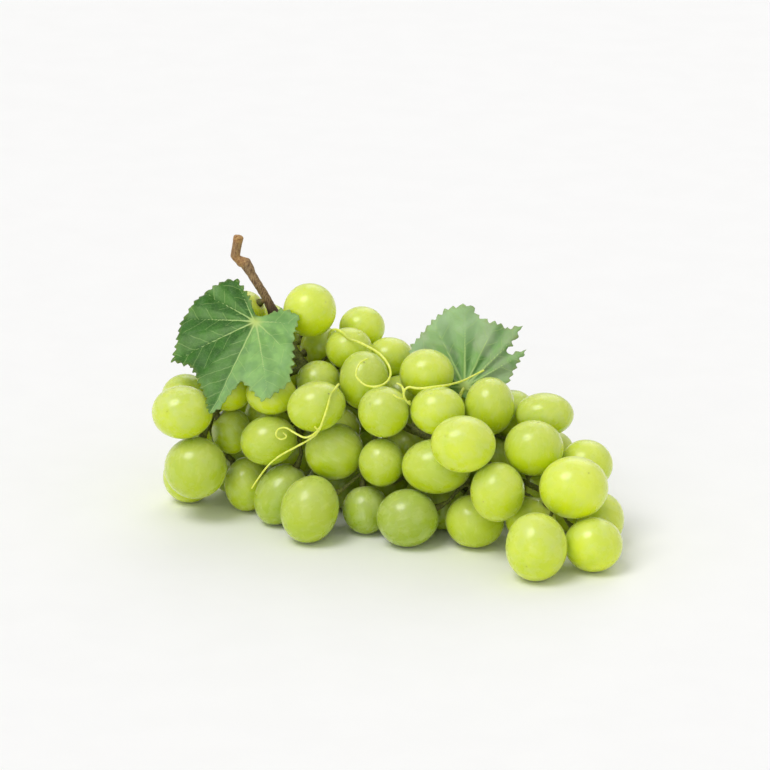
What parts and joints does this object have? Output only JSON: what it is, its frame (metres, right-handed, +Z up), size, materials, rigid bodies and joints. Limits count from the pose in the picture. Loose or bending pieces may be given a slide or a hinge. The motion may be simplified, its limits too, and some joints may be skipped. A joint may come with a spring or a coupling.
{
  "type": "bunch of grapes",
  "caption": "Bunch of green table grapes lying on its side, with a woody stalk, pedicels, vine leaves and curling tendrils.",
  "frame": {"origin": "middle of the footprint, on the surface that the bunch lies on", "axes": "+X from the stalk's end of the bunch to its tip, +Y towards the back, +Z up; seen from -Y the stalk is at the left"},
  "size_m": [0.1937, 0.1101, 0.1008],
  "materials": {
    "berry": "translucent yellow-green skin with a thin bloom and soft gloss",
    "bark": "brown woody bark, olive-green towards the pedicels",
    "leaf": "green vine leaf with pale veins and a toothed edge",
    "tendril": "smooth pale yellow-green stem"
  },
  "bodies": {
    "root": {"stalk": "bark", "shoulder_berry_1": "berry", "shoulder_berry_2": "berry", "shoulder_berry_3": "berry", "shoulder_berry_4": "berry", "shoulder_berry_5": "berry", "shoulder_berry_6": "berry", "shoulder_berry_7": "berry", "shoulder_berry_8": "berry", "crown_berry_1": "berry", "crown_berry_2": "berry", "crown_berry_3": "berry", "crown_berry_4": "berry", "upper_berry_1": "berry", "upper_berry_2": "berry", "upper_berry_3": "berry", "upper_berry_4": "berry", "upper_berry_5": "berry", "left_berry_1": "berry", "left_berry_2": "berry", "left_berry_3": "berry", "left_berry_4": "berry", "left_berry_5": "berry", "left_base_berry_1": "berry", "left_base_berry_2": "berry", "middle_berry_1": "berry", "middle_berry_2": "berry", "middle_berry_3": "berry", "right_berry_1": "berry", "right_berry_2": "berry", "right_berry_3": "berry", "right_berry_4": "berry", "right_berry_5": "berry", "right_top_berry_1": "berry", "right_top_berry_2": "berry", "right_top_berry_3": "berry", "tip_berry_1": "berry", "tip_berry_2": "berry", "tip_berry_3": "berry", "tip_berry_4": "berry", "tip_berry_5": "berry", "tip_berry_6": "berry", "tip_berry_7": "berry", "inner_sprig_1": "berry", "inner_sprig_2": "berry", "rear_top_sprig_1": "berry", "rear_top_sprig_2": "berry", "rear_tip_sprig": "berry", "rear_sprig_1": "berry", "rear_sprig_2": "berry", "rear_sprig_3": "berry", "rear_sprig_4": "berry", "stem_sprig": "berry", "base_sprig_1": "berry", "base_sprig_2": "berry", "left_leaf": "leaf", "right_leaf": "leaf", "left_tendril": "tendril", "loop_tendril": "tendril", "right_tendril": "tendril"}
  },
  "joints": []
}
